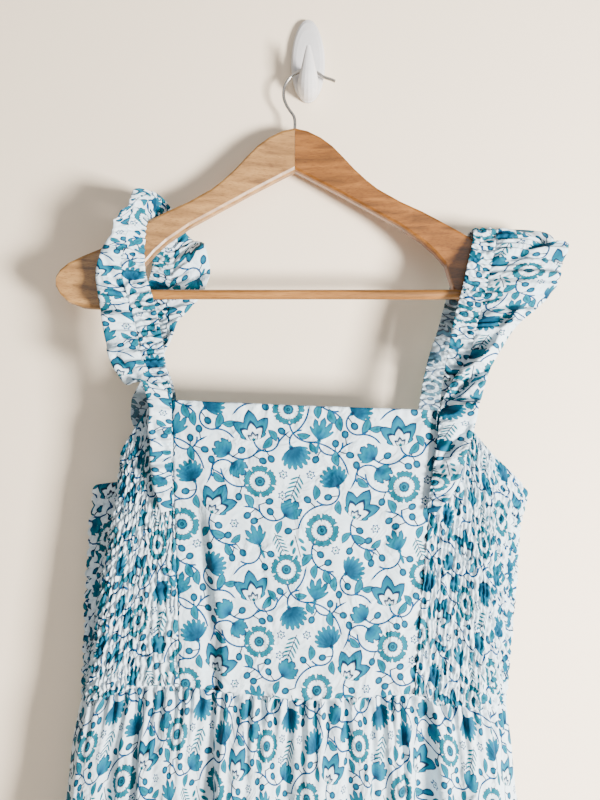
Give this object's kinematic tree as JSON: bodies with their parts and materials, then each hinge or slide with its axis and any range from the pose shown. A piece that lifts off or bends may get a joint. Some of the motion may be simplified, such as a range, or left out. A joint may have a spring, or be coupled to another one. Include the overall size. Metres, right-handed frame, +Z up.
{
  "type": "sundress on a wooden hanger with a wall hook",
  "caption": "Printed cotton sundress with ruffled elastic straps and a shirred bodice, hung on a wooden hanger from a stick-on wall hook.",
  "frame": {"origin": "middle of the wall hook's flat back face, on the wall", "axes": "+Z up, +Y into the wall; the dress hangs on the -Y side and +X is to the viewer's right"},
  "size_m": [0.6088, 0.0942, 1.2861],
  "materials": {
    "printed_cotton": "matt plain-weave cotton, white with a blue and teal floral print",
    "shirred_cotton": "the same printed cotton, gathered on rows of elastic thread",
    "hanger_wood": "satin clear lacquer",
    "hook_wire_steel": "bright zinc plated",
    "wall_hook_plastic": "glossy white moulded"
  },
  "bodies": {
    "root": {"front_panel": "printed_cotton", "shirred_side_left": "shirred_cotton", "shirred_side_right": "shirred_cotton", "shirred_back": "shirred_cotton", "strap_left": "shirred_cotton", "strap_right": "shirred_cotton", "ruffle_left": "printed_cotton", "ruffle_right": "printed_cotton", "skirt_front": "printed_cotton", "skirt_back": "printed_cotton", "hanger_arm_left": "hanger_wood", "hanger_arm_right": "hanger_wood", "hanger_bar": "hanger_wood", "hanger_hook": "hook_wire_steel", "wall_hook": "wall_hook_plastic", "wall_pad": "wall_hook_plastic"}
  },
  "joints": []
}
